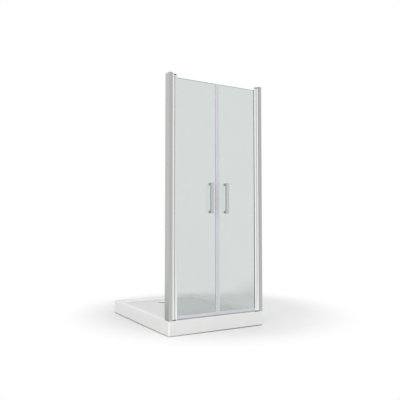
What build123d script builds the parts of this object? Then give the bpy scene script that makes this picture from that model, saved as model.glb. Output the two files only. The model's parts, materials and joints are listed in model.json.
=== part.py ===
"""Shower enclosure: a low rectangular tray on levelling feet, with two framed swing doors across its front.

Millimetres. The origin is on the floor, at the middle of the tray's footprint. X runs along the doors,
Y runs from the doors to the back of the tray and Z is up. Door parts are drawn for the left leaf, with x
growing from the tray's left side, and mirrored for the right leaf.
"""

import os
from build123d import *

# Overall sizes
tray_width = 900.0
tray_depth = 1200.0
tray_height = 120.0
door_set_height = 1950.0

# Tray shell
skirt_lift = 3.0
shell_wall = 5.0
tray_corner_radius = 14.0
tray_edge_radius = 5.0
front_rim = 78.0
side_rim = 42.0
basin_depth = 22.0
basin_fall = 4.0
basin_wall_run = 16.0
basin_corner_radius = 70.0
basin_lip_radius = 3.0

# Waste, its places measured from the tray's back edge
waste_from_back = 190.0
flange_radius = 57.0
flange_thickness = 2.5
flange_recess_gap = 1.0
flat_round_flange = 4.0
flat_side_length = 4.0
waste_hole_radius = 46.0
throat_radius = 44.6
throat_wall = 2.6
throat_length = 22.0
ledge_depth = 9.5
ledge_thickness = 4.0
ledge_width = 6.0
gasket_thickness = 3.0
trap_flange_thickness = 4.0
trap_wall = 4.0
trap_floor_gap = 14.0
thread_fit = 0.1
spigot_radius = 20.0
spigot_wall = 2.0
spigot_reach = 115.0
spigot_height = 50.0
spigot_collar_radius = 24.0
spigot_length = 59.0
pipe_notch_gap = 14.0
cup_clearance = 0.5
cup_collar = 2.0
cup_tube_radius = 28.0
cup_tube_wall = 2.0
cup_tube_floor_gap = 4.0

# Drain cover
cover_radius = 56.0
cover_gap = 2.5
cover_rim = 2.0
cover_crown = 4.5
cover_rib_inset = 6.0
cover_leg_wall = 2.6
cover_leg_clearance = 0.8
cover_leg_length = 5.5
cover_rib_width = 4.0
cover_rib_count = 4
cover_window_width = 46.0

# Base board, rails and feet under the pan
board_thickness = 12.0
board_inset = 4.0
board_waste_gap = 8.0
rail_width = 30.0
rail_height = 22.0
rail_wall = 2.0
rail_end_gap = 60.0
rail_from_tray_end = 100.0
foot_from_tray_side = 120.0
foot_pad_radius = 25.0
foot_pad_height = 9.0
foot_pad_round = 2.0
foot_boss_radius = 9.0
foot_boss_height = 7.0
foot_rod_radius = 5.0
foot_rod_seat = 4.0
foot_rod_rise = 12.0
foot_hole_clearance = 0.3
foot_nut_across_flats = 17.0
foot_nut_height = 6.0
board_screw_radius = 2.4
board_screw_head_radius = 4.5
board_screw_head_height = 2.5
board_screw_bite = 10.0
board_screw_from_tray_side = 250.0

# Wall profiles: channels that are screwed to the walls and take the posts
profile_setback = 2.0
channel_width = 31.0
channel_depth = 70.0
channel_wall = 2.0
channel_cap = 4.0
cap_plug = 8.0
cap_plug_clearance = 0.2
cap_edge_radius = 1.2
wall_hole_radius = 2.75
wall_hole_from_end = 223.0

# Posts: telescopic profiles with a rounded head
post_fit = 0.4
post_wall = 2.0
post_reach = 23.0
head_width = 21.0
head_depth = 24.0
head_bulge = 2.8
head_nose = 4.5
head_chamber_radius = 3.0
post_screw_radius = 2.1
post_screw_head_radius = 4.0
post_screw_head_height = 2.4
post_screw_head_round = 1.0
post_screw_length = 12.0
post_screw_clearance = 0.15
post_screw_from_end = 323.0

# Pivots
clamp_radius = 8.0
clamp_gap = 1.0
pivot_depth = 12.0
pivot_pin_radius = 2.5
pin_running_clearance = 0.05
bush_wall = 1.95
bush_sleeve = 13.0
bush_flange = 1.7
bush_flange_inset = 0.3
bush_rest_gap = 0.3
lower_bracket_height = 8.0
upper_bracket_height = 6.0
post_top_drop = 10.0
clamp_lift_gap = 2.3
bracket_inset = 1.5
bracket_plug = 12.0
bracket_plug_clearance = 0.1
pin_recess = 1.0

# Door glass
glass_thickness = 6.0
glass_rise = 22.0
glass_top_drop = 35.0
gasket_wall = 1.4
gasket_lip = 1.6
clamp_wing_wall = 2.1
clamp_wing_reach = 12.7
clamp_bore_wall = 1.2
glass_edge_chamfer = 0.6

# Seals
seal_wall = 1.2
seal_grip = 11.5
meeting_gap = 1.0
magnet_width = 5.0
magnet_thickness = 7.0
meeting_seal_lift = 4.0
bottom_seal_grip = 13.0
bottom_seal_body = 5.0
bottom_seal_lift = 2.0
bottom_seal_join_gap = 0.3
fin_thickness = 1.2
drip_lip_reach = 6.0

# Handles
handle_width = 28.0
handle_thickness = 13.0
handle_length = 248.0
handle_foot = 20.0
handle_stand_off = 26.0
handle_centre_height = 1081.0
handle_from_meeting = 73.5
handle_bend_radius = 6.0
handle_inner_radius = 3.0
handle_edge_radius = 2.0
handle_screw_radius = 3.0
handle_screw_bite = 16.0
handle_screw_head_radius = 8.0
handle_screw_head_height = 4.0
handle_screw_head_round = 2.5
washer_radius = 9.0
washer_thickness = 1.0
washer_collar = 2.6
washer_clearance = 0.1
glass_hole_radius = 4.0

# Places worked out from the sizes
tray_left = -tray_width / 2
tray_front = -tray_depth / 2
tray_back = tray_depth / 2
set_top = tray_height + door_set_height

basin_width = tray_width - 2 * side_rim
basin_length = tray_depth - front_rim - side_rim
basin_centre_y = (front_rim - side_rim) / 2
basin_edge_floor = tray_height - basin_depth
waste_floor = basin_edge_floor - basin_fall
flange_seat = waste_floor - flange_thickness
fall_foot_width = 2 * (flange_radius + flange_recess_gap + flat_round_flange)
pan_bottom = flange_seat - shell_wall
pan_outer_width = basin_width + 2 * shell_wall
pan_outer_length = basin_length + 2 * shell_wall
waste_y = tray_back - waste_from_back

board_bottom = pan_bottom - board_thickness
rail_bottom = board_bottom - rail_height
rail_length = tray_width - 2 * rail_end_gap
rail_spacing = tray_depth / 2 - rail_from_tray_end
foot_spacing = tray_width / 2 - foot_from_tray_side
board_screw_spacing = tray_width / 2 - board_screw_from_tray_side

throat_bore = throat_radius - throat_wall
ledge_top = waste_floor - ledge_depth
trap_top = pan_bottom - gasket_thickness
trap_bore = throat_radius + thread_fit
trap_radius = trap_bore + trap_wall

front_y = tray_front + profile_setback
channel_front_inside = front_y + channel_wall
channel_back_inside = front_y + channel_depth - channel_wall
channel_top = set_top - channel_cap
channel_length = channel_top - tray_height
wall_hole_outer_spacing = channel_length - 2 * wall_hole_from_end
wall_hole_inner_spacing = wall_hole_outer_spacing / 3
post_screw_spacing = channel_length / 2 - post_screw_from_end
post_start = channel_width - post_reach
post_bottom = tray_height + lower_bracket_height
post_top = set_top - post_top_drop - upper_bracket_height
head_start = channel_width + post_fit
head_end = head_start + head_width
head_back = front_y + head_depth

pivot_x = head_end + clamp_gap + clamp_radius
pivot_y = tray_front + pivot_depth
clamp_bottom = post_bottom + bush_rest_gap + bush_flange
clamp_top = post_top - clamp_lift_gap - bush_flange
bush_outer_radius = pivot_pin_radius + pin_running_clearance + bush_wall
slot_start = pivot_x + bush_outer_radius + clamp_bore_wall
slot_half = glass_thickness / 2 + gasket_wall
wing_half = slot_half + clamp_wing_wall
wing_end = pivot_x + clamp_wing_reach

meeting_x = tray_width / 2
seal_half = glass_thickness / 2 + seal_wall
magnet_start = meeting_x - meeting_gap / 2 - seal_wall
magnet_end = magnet_start - magnet_width
glass_start = slot_start + gasket_wall
glass_end = magnet_end - seal_wall
glass_bottom = tray_height + glass_rise
glass_top = set_top - glass_top_drop
glass_front = pivot_y - glass_thickness / 2
glass_back = pivot_y + glass_thickness / 2
meeting_seal_inner = glass_end - seal_grip
meeting_seal_grip_bottom = glass_bottom + bottom_seal_grip + bottom_seal_join_gap
bottom_seal_end = glass_end - bottom_seal_join_gap
bottom_seal_start = wing_end + gasket_lip + bottom_seal_join_gap

handle_x = meeting_x - handle_from_meeting
handle_face = glass_front - washer_thickness
handle_back_of_bar = handle_face - handle_stand_off
handle_front = handle_back_of_bar - handle_thickness
handle_screw_spacing = handle_length - handle_foot
inner_washer_back = glass_back + washer_thickness

os.makedirs("parts", exist_ok=True)


def save(part, name):
    """Label a finished piece and write it to its own file."""
    part.label = name
    export_step(part, "parts/" + name + ".step")


def save_pair(part, name):
    """Write a piece of the left side as drawn, and its mirror image for the right side."""
    save(part, name + "_left")
    save(mirror(part, about=Plane.YZ), name + "_right")


def left(x):
    """Place on the X axis of a distance from the tray's left side."""
    return tray_left + x


def rectangle_between(x_low, x_high, y_low, y_high, mode=Mode.ADD):
    """A rectangle between two distances from the left side and two places on Y."""
    with Locations((left((x_low + x_high) / 2), (y_low + y_high) / 2)):
        Rectangle(x_high - x_low, y_high - y_low, mode=mode)


def circle_at(x, y, radius, mode=Mode.ADD):
    """A circle at a distance from the left side and a place on Y."""
    with Locations((left(x), y)):
        Circle(radius, mode=mode)


# Tray shell: skirt, rim, basin with a fall to the waste, and a notch for the waste pipe
with BuildPart() as tray_shell:
    with BuildSketch(Plane.XY.offset(skirt_lift)):
        RectangleRounded(tray_width, tray_depth, tray_corner_radius)
    extrude(amount=tray_height - skirt_lift)
    fillet(tray_shell.faces().sort_by(Axis.Z)[-1].edges(), tray_edge_radius)
    with BuildSketch(Plane.XY.offset(skirt_lift)):
        RectangleRounded(
            tray_width - 2 * shell_wall,
            tray_depth - 2 * shell_wall,
            tray_corner_radius - shell_wall,
        )
    extrude(amount=tray_height - skirt_lift - shell_wall, mode=Mode.SUBTRACT)
    with BuildSketch(Plane.XY.offset(pan_bottom)):
        with Locations((0, basin_centre_y)):
            RectangleRounded(pan_outer_width, pan_outer_length, basin_corner_radius + shell_wall)
    extrude(amount=tray_height - shell_wall / 2 - pan_bottom)
    with BuildSketch(Plane.XY.offset(tray_height)):
        with Locations((0, basin_centre_y)):
            RectangleRounded(basin_width, basin_length, basin_corner_radius)
    with BuildSketch(Plane.XY.offset(basin_edge_floor)):
        with Locations((0, basin_centre_y)):
            RectangleRounded(
                basin_width - 2 * basin_wall_run,
                basin_length - 2 * basin_wall_run,
                basin_corner_radius - basin_wall_run,
            )
    loft(ruled=True, mode=Mode.SUBTRACT)
    fillet(tray_shell.faces().sort_by(Axis.Z)[-1].inner_wires()[0].edges(), basin_lip_radius)
    with BuildSketch(Plane.XY.offset(basin_edge_floor)):
        with Locations((0, basin_centre_y)):
            RectangleRounded(
                basin_width - 2 * basin_wall_run,
                basin_length - 2 * basin_wall_run,
                basin_corner_radius - basin_wall_run,
            )
    with BuildSketch(Plane.XY.offset(waste_floor)):
        with Locations((0, waste_y)):
            RectangleRounded(fall_foot_width, fall_foot_width, (fall_foot_width - flat_side_length) / 2)
    loft(ruled=True, mode=Mode.SUBTRACT)
    with BuildSketch(Plane.XY.offset(flange_seat)):
        with Locations((0, waste_y)):
            Circle(flange_radius + flange_recess_gap)
    extrude(amount=flange_thickness, mode=Mode.SUBTRACT)
    with BuildSketch(Plane.XY.offset(pan_bottom)):
        with Locations((0, waste_y)):
            Circle(waste_hole_radius)
    extrude(amount=shell_wall, mode=Mode.SUBTRACT)
    with BuildSketch(Plane.YZ.offset(tray_width / 2)):
        with Locations((waste_y, spigot_height)):
            Circle(spigot_radius + pipe_notch_gap)
        with Locations((waste_y, spigot_height / 2)):
            Rectangle(2 * (spigot_radius + pipe_notch_gap), spigot_height)
    extrude(amount=-2 * shell_wall, mode=Mode.SUBTRACT)
save(tray_shell.part, "tray_shell")


# Base board glued under the pan, with an opening round the waste
with BuildPart() as base_board:
    with BuildSketch(Plane.XY.offset(board_bottom)):
        with Locations((0, basin_centre_y)):
            RectangleRounded(
                basin_width - 2 * board_inset, basin_length - 2 * board_inset, basin_corner_radius
            )
        with Locations((0, waste_y)):
            Circle(flange_radius + board_waste_gap, mode=Mode.SUBTRACT)
    extrude(amount=board_thickness)
    with BuildSketch(Plane.XY.offset(board_bottom)):
        with GridLocations(2 * board_screw_spacing, rail_spacing, 2, 3):
            Circle(board_screw_radius)
    extrude(amount=board_screw_bite, mode=Mode.SUBTRACT)
save(base_board.part, "base_board")


# Support rails: three box sections across the tray
foot_places = [
    (-foot_spacing, -rail_spacing),
    (foot_spacing, -rail_spacing),
    (-foot_spacing, 0),
    (0, 0),
    (foot_spacing, 0),
    (-foot_spacing, rail_spacing),
    (foot_spacing, rail_spacing),
]

with BuildPart() as support_rails:
    with BuildSketch(Plane.YZ.offset(-rail_length / 2)):
        with Locations((0, rail_bottom + rail_height / 2)):
            with GridLocations(rail_spacing, 1, 3, 1):
                Rectangle(rail_width, rail_height)
                Rectangle(
                    rail_width - 2 * rail_wall, rail_height - 2 * rail_wall, mode=Mode.SUBTRACT
                )
    extrude(amount=rail_length)
    with BuildSketch(Plane.XY.offset(rail_bottom)):
        with Locations(foot_places):
            Circle(foot_rod_radius + foot_hole_clearance)
    extrude(amount=rail_wall, mode=Mode.SUBTRACT)
    with BuildSketch(Plane.XY.offset(rail_bottom)):
        with GridLocations(2 * board_screw_spacing, rail_spacing, 2, 3):
            Circle(board_screw_radius)
    extrude(amount=rail_height, mode=Mode.SUBTRACT)
save(support_rails.part, "support_rails")


# Screws that hold the rails to the board
with BuildPart() as rail_screws:
    with BuildSketch(Plane.XY.offset(rail_bottom)):
        with GridLocations(2 * board_screw_spacing, rail_spacing, 2, 3):
            Circle(board_screw_head_radius)
    extrude(amount=-board_screw_head_height)
    with BuildSketch(Plane.XY.offset(rail_bottom)):
        with GridLocations(2 * board_screw_spacing, rail_spacing, 2, 3):
            Circle(board_screw_radius)
    extrude(amount=rail_height + board_screw_bite)
save(rail_screws.part, "rail_screws")


# Feet: pads on the floor, threaded rods, and nuts that carry the rails
with BuildPart() as foot_pads:
    with BuildSketch():
        with Locations(foot_places):
            Circle(foot_pad_radius)
    extrude(amount=foot_pad_height)
    fillet(foot_pads.edges().group_by(Axis.Z)[-1], foot_pad_round)
    with BuildSketch():
        with Locations(foot_places):
            Circle(foot_boss_radius)
    extrude(amount=foot_pad_height + foot_boss_height)
    with BuildSketch(Plane.XY.offset(foot_rod_seat)):
        with Locations(foot_places):
            Circle(foot_rod_radius)
    extrude(amount=foot_pad_height + foot_boss_height, mode=Mode.SUBTRACT)
save(foot_pads.part, "foot_pads")

with BuildPart() as foot_rods:
    with BuildSketch(Plane.XY.offset(foot_rod_seat)):
        with Locations(foot_places):
            Circle(foot_rod_radius)
    extrude(amount=rail_bottom + rail_wall + foot_rod_rise - foot_rod_seat)
save(foot_rods.part, "foot_rods")

with BuildPart() as foot_nuts:
    with BuildSketch(Plane.XY.offset(rail_bottom - foot_nut_height)):
        with Locations(foot_places):
            RegularPolygon(foot_nut_across_flats / 2, 6, major_radius=False)
            Circle(foot_rod_radius, mode=Mode.SUBTRACT)
    extrude(amount=foot_nut_height)
save(foot_nuts.part, "foot_nuts")


# Waste flange: its rim lies in the basin floor and its throat screws into the trap
with BuildPart() as waste_flange:
    with BuildSketch(Plane.XY.offset(flange_seat)):
        with Locations((0, waste_y)):
            Circle(flange_radius)
    extrude(amount=flange_thickness)
    with BuildSketch(Plane.XY.offset(waste_floor - throat_length)):
        with Locations((0, waste_y)):
            Circle(throat_radius)
    extrude(amount=throat_length - flange_thickness)
    with BuildSketch(Plane.XY.offset(waste_floor - throat_length)):
        with Locations((0, waste_y)):
            Circle(throat_bore)
    extrude(amount=throat_length, mode=Mode.SUBTRACT)
    with BuildSketch(Plane.XY.offset(ledge_top - ledge_thickness)):
        with Locations((0, waste_y)):
            Circle(throat_radius)
            Circle(throat_bore - ledge_width, mode=Mode.SUBTRACT)
    extrude(amount=ledge_thickness)
save(waste_flange.part, "waste_flange")

with BuildPart() as waste_gasket:
    with BuildSketch(Plane.XY.offset(trap_top)):
        with Locations((0, waste_y)):
            Circle(flange_radius)
            Circle(waste_hole_radius, mode=Mode.SUBTRACT)
    extrude(amount=gasket_thickness)
save(waste_gasket.part, "waste_gasket")


# Trap body with its outlet spigot
with BuildPart() as trap_body:
    with BuildSketch(Plane.XY.offset(trap_top - trap_flange_thickness)):
        with Locations((0, waste_y)):
            Circle(flange_radius)
    extrude(amount=trap_flange_thickness)
    with BuildSketch(Plane.XY.offset(trap_floor_gap)):
        with Locations((0, waste_y)):
            Circle(trap_radius)
    extrude(amount=trap_top - trap_floor_gap)
    with BuildSketch(Plane.YZ):
        with Locations((waste_y, spigot_height)):
            Circle(spigot_radius)
    extrude(amount=spigot_reach)
    with BuildSketch(Plane.YZ):
        with Locations((waste_y, spigot_height)):
            Circle(spigot_collar_radius)
    extrude(amount=spigot_reach - spigot_length)
    with BuildSketch(Plane.XY.offset(trap_floor_gap + trap_wall)):
        with Locations((0, waste_y)):
            Circle(trap_bore)
    extrude(amount=trap_top, mode=Mode.SUBTRACT)
    with BuildSketch(Plane.YZ):
        with Locations((waste_y, spigot_height)):
            Circle(spigot_radius - spigot_wall)
    extrude(amount=spigot_reach, mode=Mode.SUBTRACT)
save(trap_body.part, "trap_body")

# Trap cup: a lift-out dip tube whose collar rests on the ledge in the throat
with BuildPart() as trap_cup:
    with BuildSketch(Plane.XY.offset(ledge_top)):
        with Locations((0, waste_y)):
            Circle(throat_bore - cup_clearance)
    extrude(amount=cup_collar)
    with BuildSketch(Plane.XY.offset(trap_floor_gap + trap_wall + cup_tube_floor_gap)):
        with Locations((0, waste_y)):
            Circle(cup_tube_radius)
    extrude(amount=ledge_top - trap_floor_gap - trap_wall - cup_tube_floor_gap)
    with BuildSketch(Plane.XY.offset(trap_floor_gap)):
        with Locations((0, waste_y)):
            Circle(cup_tube_radius - cup_tube_wall)
    extrude(amount=waste_floor, mode=Mode.SUBTRACT)
save(trap_cup.part, "trap_cup")


# Drain cover: a shallow dome on ribs, centred in the throat by a ring of legs
cover_underside = waste_floor + cover_gap
cover_leg_radius = throat_bore - cover_leg_clearance

with BuildPart() as drain_cover:
    with BuildSketch(Plane.XZ.offset(-waste_y)):
        with BuildLine():
            dome = ThreePointArc(
                (0, cover_underside + cover_rim + cover_crown),
                (cover_radius / 2, cover_underside + cover_rim + 0.75 * cover_crown),
                (cover_radius, cover_underside + cover_rim),
            )
            Polyline(dome @ 1, (cover_radius, cover_underside), (0, cover_underside), dome @ 0)
        make_face()
    revolve(axis=Axis((0, waste_y, 0), (0, 0, 1)))
    with BuildSketch(Plane.XY.offset(waste_floor - cover_leg_length)):
        with Locations((0, waste_y)):
            Circle(cover_leg_radius)
            Circle(cover_leg_radius - cover_leg_wall, mode=Mode.SUBTRACT)
            with PolarLocations(cover_leg_radius, cover_rib_count, start_angle=180 / cover_rib_count):
                Rectangle(cover_leg_radius, cover_window_width, mode=Mode.SUBTRACT)
    extrude(amount=cover_leg_length + cover_gap + cover_rim / 2)
    with BuildSketch(Plane.XY.offset(waste_floor)):
        with Locations((0, waste_y)):
            with PolarLocations((cover_leg_radius + cover_radius) / 2, cover_rib_count):
                Rectangle(cover_radius - cover_leg_radius - cover_rib_inset, cover_rib_width)
    extrude(amount=cover_gap + cover_rim / 2)
save(drain_cover.part, "drain_cover")


# Wall profile: a channel open towards the post, with holes for the wall screws
channel_middle = (tray_height + channel_top) / 2
channel_centre_y = front_y + channel_depth / 2

with BuildPart() as wall_profile:
    with BuildSketch(Plane.XY.offset(tray_height)):
        rectangle_between(0, channel_width, front_y, front_y + channel_depth)
        rectangle_between(
            channel_wall,
            channel_width,
            channel_front_inside,
            channel_back_inside,
            mode=Mode.SUBTRACT,
        )
    extrude(amount=channel_length)
    with BuildSketch(Plane.YZ.offset(tray_left)):
        with Locations((channel_centre_y, channel_middle)):
            with GridLocations(1, wall_hole_outer_spacing, 1, 2):
                Circle(wall_hole_radius)
            with GridLocations(1, wall_hole_inner_spacing, 1, 2):
                Circle(wall_hole_radius)
    extrude(amount=channel_wall, mode=Mode.SUBTRACT)
    with BuildSketch(Plane.XZ.offset(-(front_y + channel_depth))):
        with Locations((left(post_start + post_reach / 2), channel_middle)):
            with GridLocations(1, post_screw_spacing, 1, 3):
                Circle(post_screw_radius + post_screw_clearance)
    extrude(amount=channel_wall, mode=Mode.SUBTRACT)
save_pair(wall_profile.part, "wall_profile")

# Cap that closes the top of the wall profile
with BuildPart() as wall_profile_cap:
    with BuildSketch(Plane.XY.offset(channel_top)):
        rectangle_between(0, channel_width, front_y, front_y + channel_depth)
    extrude(amount=channel_cap)
    fillet(wall_profile_cap.faces().sort_by(Axis.Z)[-1].edges(), cap_edge_radius)
    with BuildSketch(Plane.XY.offset(channel_top)):
        rectangle_between(
            channel_wall + cap_plug_clearance,
            channel_width - channel_wall,
            channel_front_inside + cap_plug_clearance,
            channel_back_inside - cap_plug_clearance,
        )
    extrude(amount=-cap_plug)
save_pair(wall_profile_cap.part, "wall_profile_cap")


# Post: a tongue inside the wall profile and a rounded head beside it
def head_chamber(margin=0.0):
    """The hollow in the post's head, made smaller by a margin for what plugs into it."""
    x_low = head_start + post_wall + margin
    x_high = head_end - post_wall - margin
    y_low = front_y + head_nose + post_wall + margin
    y_high = head_back - post_wall - margin
    with Locations((left((x_low + x_high) / 2), (y_low + y_high) / 2)):
        RectangleRounded(x_high - x_low, y_high - y_low, head_chamber_radius)


with BuildPart() as post_profile:
    with BuildSketch(Plane.XY.offset(post_bottom)):
        rectangle_between(
            post_start,
            head_start + post_wall,
            channel_front_inside + post_fit,
            channel_back_inside - post_fit,
        )
        with BuildLine():
            nose = ThreePointArc(
                (left(head_start), front_y + head_bulge / 2),
                (left(head_start + head_width / 2), front_y - head_bulge / 4),
                (left(head_end - head_bulge / 2), front_y + head_nose),
            )
            Line(nose @ 1, (left(head_end), front_y + head_nose + head_bulge))
            Line(
                (left(head_end), front_y + head_nose + head_bulge),
                (left(head_end), head_back - head_bulge),
            )
            Line((left(head_end), head_back - head_bulge), (left(head_end - head_bulge), head_back))
            Line((left(head_end - head_bulge), head_back), (left(head_start), head_back))
            Line((left(head_start), head_back), nose @ 0)
        make_face()
        rectangle_between(
            post_start + post_wall,
            head_start - post_wall / 2,
            channel_front_inside + post_fit + post_wall,
            channel_back_inside - post_fit - post_wall,
            mode=Mode.SUBTRACT,
        )
    extrude(amount=post_top - post_bottom)
    with BuildSketch(Plane.XY.offset(post_bottom)):
        head_chamber()
    extrude(amount=post_top - post_bottom, mode=Mode.SUBTRACT)
    with BuildSketch(Plane.XZ.offset(-(channel_back_inside - post_fit))):
        with Locations((left(post_start + post_reach / 2), channel_middle)):
            with GridLocations(1, post_screw_spacing, 1, 3):
                Circle(post_screw_radius)
    extrude(amount=post_wall, mode=Mode.SUBTRACT)
save_pair(post_profile.part, "post_profile")

# Screws that hold the post in the wall profile, driven from inside the shower
with BuildPart() as post_screws:
    with BuildSketch(Plane.XZ.offset(-(front_y + channel_depth))):
        with Locations((left(post_start + post_reach / 2), channel_middle)):
            with GridLocations(1, post_screw_spacing, 1, 3):
                Circle(post_screw_head_radius)
    extrude(amount=-post_screw_head_height)
    fillet(post_screws.edges().group_by(Axis.Y)[-1], post_screw_head_round)
    with BuildSketch(Plane.XZ.offset(-(front_y + channel_depth))):
        with Locations((left(post_start + post_reach / 2), channel_middle)):
            with GridLocations(1, post_screw_spacing, 1, 3):
                Circle(post_screw_radius)
    extrude(amount=post_screw_length)
save_pair(post_screws.part, "post_screws")


# Pivot brackets at the foot and the top of the post, each holding a steel pin
def bracket_outline():
    """The plate under or over the post's head, reaching round the pivot."""
    rectangle_between(
        head_start + bracket_inset,
        head_end - bracket_inset,
        front_y + head_nose + bracket_inset,
        head_back - bracket_inset,
    )
    rectangle_between(
        head_start + head_width / 2,
        pivot_x,
        pivot_y - clamp_radius + bracket_inset,
        pivot_y + clamp_radius - bracket_inset,
    )
    circle_at(pivot_x, pivot_y, clamp_radius - bracket_inset / 2)
    circle_at(pivot_x, pivot_y, pivot_pin_radius, mode=Mode.SUBTRACT)


with BuildPart() as lower_pivot_bracket:
    with BuildSketch(Plane.XY.offset(tray_height)):
        bracket_outline()
    extrude(amount=lower_bracket_height)
    with BuildSketch(Plane.XY.offset(post_bottom)):
        head_chamber(margin=bracket_plug_clearance)
    extrude(amount=bracket_plug)
save_pair(lower_pivot_bracket.part, "lower_pivot_bracket")

with BuildPart() as upper_pivot_bracket:
    with BuildSketch(Plane.XY.offset(post_top)):
        bracket_outline()
    extrude(amount=upper_bracket_height)
    with BuildSketch(Plane.XY.offset(post_top)):
        head_chamber(margin=bracket_plug_clearance)
    extrude(amount=-bracket_plug)
save_pair(upper_pivot_bracket.part, "upper_pivot_bracket")

with BuildPart() as pivot_pins:
    with BuildSketch(Plane.XY.offset(tray_height + pin_recess)):
        circle_at(pivot_x, pivot_y, pivot_pin_radius)
    extrude(amount=clamp_bottom + bush_sleeve - tray_height - pin_recess)
    with BuildSketch(Plane.XY.offset(clamp_top - bush_sleeve)):
        circle_at(pivot_x, pivot_y, pivot_pin_radius)
    extrude(amount=post_top + upper_bracket_height - pin_recess - clamp_top + bush_sleeve)
save_pair(pivot_pins.part, "pivot_pins")


# Pivot profile: the round-backed profile that clamps the glass and turns on the pins
with BuildPart() as pivot_profile:
    with BuildSketch(Plane.XY.offset(clamp_bottom)):
        circle_at(pivot_x, pivot_y, clamp_radius)
        rectangle_between(pivot_x, wing_end, pivot_y - wing_half, pivot_y + wing_half)
        rectangle_between(
            slot_start, wing_end, pivot_y - slot_half, pivot_y + slot_half, mode=Mode.SUBTRACT
        )
        circle_at(pivot_x, pivot_y, bush_outer_radius, mode=Mode.SUBTRACT)
    extrude(amount=clamp_top - clamp_bottom)
save_pair(pivot_profile.part, "pivot_profile")

# Bushes in both ends of the pivot profile, running on the pins
with BuildPart() as pivot_bushes:
    for end, outwards in ((clamp_bottom, -1), (clamp_top, 1)):
        with BuildSketch(Plane.XY.offset(end)):
            circle_at(pivot_x, pivot_y, clamp_radius - bush_flange_inset)
        extrude(amount=outwards * bush_flange)
        with BuildSketch(Plane.XY.offset(end)):
            circle_at(pivot_x, pivot_y, bush_outer_radius)
        extrude(amount=-outwards * bush_sleeve)
    with BuildSketch(Plane.XY.offset(post_bottom)):
        circle_at(pivot_x, pivot_y, pivot_pin_radius + pin_running_clearance)
    extrude(amount=post_top - post_bottom, mode=Mode.SUBTRACT)
save_pair(pivot_bushes.part, "pivot_bushes")

# Glazing gasket in the slot of the pivot profile
with BuildPart() as glazing_gasket:
    with BuildSketch(Plane.XY.offset(glass_bottom)):
        rectangle_between(
            slot_start, wing_end + gasket_lip, pivot_y - slot_half, pivot_y + slot_half
        )
        rectangle_between(
            glass_start, wing_end + gasket_lip, glass_front, glass_back, mode=Mode.SUBTRACT
        )
    extrude(amount=glass_top - glass_bottom)
save_pair(glazing_gasket.part, "glazing_gasket")


# Door glass with two holes for the handle
with BuildPart() as door_glass:
    with BuildSketch(Plane.XY.offset(glass_bottom)):
        rectangle_between(glass_start, glass_end, glass_front, glass_back)
    extrude(amount=glass_top - glass_bottom)
    chamfer(door_glass.faces().sort_by(Axis.Z)[-1].edges().filter_by(Axis.X), glass_edge_chamfer)
    with BuildSketch(Plane.XZ.offset(-glass_back)):
        with Locations((left(handle_x), handle_centre_height)):
            with GridLocations(1, handle_screw_spacing, 1, 2):
                Circle(glass_hole_radius)
    extrude(amount=glass_thickness, mode=Mode.SUBTRACT)
save_pair(door_glass.part, "door_glass")


# Meeting seal on the free edge of the glass, and the magnetic strip inside it
with BuildPart() as meeting_seal:
    with BuildSketch(Plane.XY.offset(tray_height + meeting_seal_lift)):
        rectangle_between(
            glass_end, meeting_x - meeting_gap / 2, pivot_y - seal_half, pivot_y + seal_half
        )
        rectangle_between(
            magnet_end,
            magnet_start,
            pivot_y - magnet_thickness / 2,
            pivot_y + magnet_thickness / 2,
            mode=Mode.SUBTRACT,
        )
    extrude(amount=glass_top - tray_height - meeting_seal_lift)
    with BuildSketch(Plane.XY.offset(meeting_seal_grip_bottom)):
        rectangle_between(meeting_seal_inner, glass_end, pivot_y - seal_half, glass_front)
        rectangle_between(meeting_seal_inner, glass_end, glass_back, pivot_y + seal_half)
    extrude(amount=glass_top - meeting_seal_grip_bottom)
save_pair(meeting_seal.part, "meeting_seal")

with BuildPart() as magnet_strip:
    with BuildSketch(Plane.XY.offset(tray_height + meeting_seal_lift)):
        rectangle_between(
            magnet_end,
            magnet_start,
            pivot_y - magnet_thickness / 2,
            pivot_y + magnet_thickness / 2,
        )
    extrude(amount=glass_top - tray_height - meeting_seal_lift)
save_pair(magnet_strip.part, "magnet_strip")


# Bottom seal: a clip on the lower edge of the glass with a fin and a drip lip
clip_bottom = glass_bottom - bottom_seal_body
fin_bottom = tray_height + bottom_seal_lift

with BuildPart() as bottom_seal:
    with BuildSketch(Plane.YZ.offset(left(bottom_seal_start))):
        with BuildLine():
            Polyline(
                (pivot_y - seal_half, glass_bottom + bottom_seal_grip),
                (pivot_y - seal_half, clip_bottom),
                (pivot_y - fin_thickness / 2, clip_bottom),
                (pivot_y - fin_thickness / 2, fin_bottom),
                (pivot_y + fin_thickness / 2, fin_bottom),
                (pivot_y + fin_thickness / 2, clip_bottom - fin_thickness),
                (pivot_y + seal_half, clip_bottom - fin_thickness),
                (pivot_y + seal_half + drip_lip_reach, clip_bottom - drip_lip_reach),
                (pivot_y + seal_half + drip_lip_reach, clip_bottom - drip_lip_reach + fin_thickness),
                (pivot_y + seal_half, clip_bottom + fin_thickness),
                (pivot_y + seal_half, glass_bottom + bottom_seal_grip),
                (glass_back, glass_bottom + bottom_seal_grip),
                (glass_back, glass_bottom),
                (glass_front, glass_bottom),
                (glass_front, glass_bottom + bottom_seal_grip),
                close=True,
            )
        make_face()
    extrude(amount=bottom_seal_end - bottom_seal_start)
save_pair(bottom_seal.part, "bottom_seal")


# Handle: a flat bar bent back to the glass at both ends, drilled for its screws
handle_low = handle_centre_height - handle_length / 2
handle_high = handle_centre_height + handle_length / 2

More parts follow.
